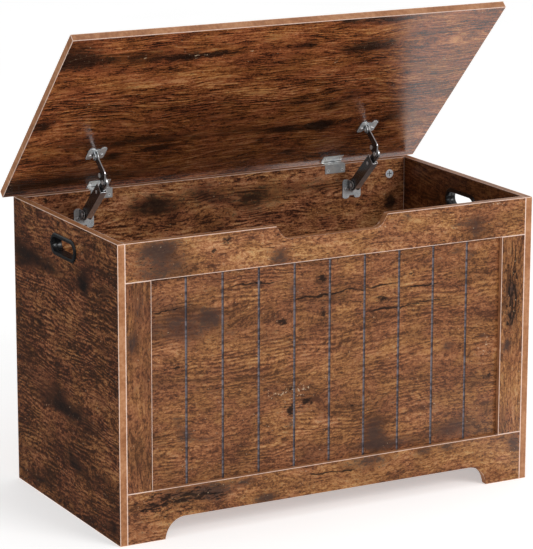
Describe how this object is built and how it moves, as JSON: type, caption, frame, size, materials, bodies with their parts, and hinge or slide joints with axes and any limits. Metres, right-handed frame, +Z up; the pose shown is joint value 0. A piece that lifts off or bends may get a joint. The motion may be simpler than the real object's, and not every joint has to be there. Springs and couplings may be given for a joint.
{
  "type": "wooden toy box",
  "caption": "Lift-lid wooden toy chest with a beadboard front, finger cut-out, handle holes in its sides and spring lid stays, lid half open.",
  "frame": {"origin": "on the floor under the middle of the open chest's overall box", "axes": "+Z up, +Y towards the hinged back, +X to the right seen from the front"},
  "size_m": [0.76, 0.4004, 0.7633],
  "materials": {
    "side_laminate": "semi-gloss wood-grain laminate, dark red-brown with near-black blotches",
    "inner_laminate": "semi-gloss wood-grain laminate, red-brown",
    "front_laminate": "semi-gloss wood-grain laminate, rustic golden brown with charcoal smudges",
    "bead_laminate": "semi-gloss wood-grain laminate with blue-grey grooves",
    "lid_laminate": "semi-gloss wood-grain laminate, dark red-brown",
    "dowel_wood": "bare beech",
    "black_plastic": "satin black moulded plastic",
    "zinc_steel": "zinc plated",
    "bright_screw": "bright nickel plated",
    "nickel_plate": "bright nickel plated",
    "stay_plate": "bright nickel plated, lightly brushed",
    "stay_rivet": "bright nickel plated",
    "stay_steel": "bare spring steel and zinc plate"
  },
  "bodies": {
    "box": {"left_side_panel": "side_laminate", "right_side_panel": "side_laminate", "back_panel": "inner_laminate", "bottom_panel": "inner_laminate", "front_top_rail": "front_laminate", "front_bottom_rail": "front_laminate", "left_stile": "front_laminate", "right_stile": "front_laminate", "beadboard_panel": "bead_laminate", "left_handle_outer_ring": "black_plastic", "left_handle_inner_ring": "black_plastic", "right_handle_outer_ring": "black_plastic", "right_handle_inner_ring": "black_plastic", "dowels": "dowel_wood", "cam_bolts": "zinc_steel", "cam_nuts": "zinc_steel", "hinge_box_screws": "bright_screw", "stay_box_screws": "bright_screw", "left_hinge_box_leaf": "nickel_plate", "right_hinge_box_leaf": "nickel_plate", "left_hinge_pin": "zinc_steel", "right_hinge_pin": "zinc_steel", "left_stay_foot_bracket": "stay_plate", "right_stay_foot_bracket": "stay_plate", "left_stay_foot_pin": "stay_rivet", "right_stay_foot_pin": "stay_rivet"},
    "lid": {"lid_panel": "lid_laminate", "hinge_lid_screws": "bright_screw", "stay_lid_screws": "bright_screw", "left_hinge_lid_leaf": "nickel_plate", "right_hinge_lid_leaf": "nickel_plate", "left_stay_lid_bracket": "stay_plate", "right_stay_lid_bracket": "stay_plate", "left_stay_lid_pin": "stay_rivet", "right_stay_lid_pin": "stay_rivet"},
    "left_lower_arm": {"left_stay_casing": "stay_plate", "left_stay_inner_bar": "stay_plate", "left_stay_slide_rivet": "stay_rivet", "left_stay_spring_seat": "stay_steel", "left_stay_adjuster": "stay_steel", "left_stay_spring": "stay_steel"},
    "left_upper_arm": {"left_stay_upper_arm": "stay_plate", "left_stay_elbow_rivets": "stay_rivet"},
    "right_lower_arm": {"right_stay_casing": "stay_plate", "right_stay_inner_bar": "stay_plate", "right_stay_slide_rivet": "stay_rivet", "right_stay_spring_seat": "stay_steel", "right_stay_adjuster": "stay_steel", "right_stay_spring": "stay_steel"},
    "right_upper_arm": {"right_stay_upper_arm": "stay_plate", "right_stay_elbow_rivets": "stay_rivet"}
  },
  "joints": [
    {"name": "lid_hinge", "type": "hinge", "parent": "box", "child": "lid", "pos_m": [0, 0.1871, 0.4673], "axis": [-1, 0, 0], "range_deg": [-46, 34]},
    {"name": "left_stay_foot_pivot", "type": "hinge", "parent": "box", "child": "left_lower_arm", "pos_m": [-0.248, 0.16, 0.4315], "axis": [-1, 0, 0], "range_deg": [-46, 34]},
    {"name": "left_stay_lid_pivot", "type": "hinge", "parent": "lid", "child": "left_upper_arm", "pos_m": [-0.248, 0.1163, 0.5328], "axis": [1, 0, 0], "range_deg": [-46, 34]},
    {"name": "right_stay_foot_pivot", "type": "hinge", "parent": "box", "child": "right_lower_arm", "pos_m": [0.248, 0.16, 0.4315], "axis": [-1, 0, 0], "range_deg": [-46, 34]},
    {"name": "right_stay_lid_pivot", "type": "hinge", "parent": "lid", "child": "right_upper_arm", "pos_m": [0.248, 0.1163, 0.5328], "axis": [1, 0, 0], "range_deg": [-46, 34]}
  ],
  "couplings": [
    {"joint": "left_stay_foot_pivot", "follows": "lid_hinge", "ratio": 1},
    {"joint": "left_stay_lid_pivot", "follows": "lid_hinge", "ratio": 1},
    {"joint": "right_stay_foot_pivot", "follows": "lid_hinge", "ratio": 1},
    {"joint": "right_stay_lid_pivot", "follows": "lid_hinge", "ratio": 1}
  ]
}
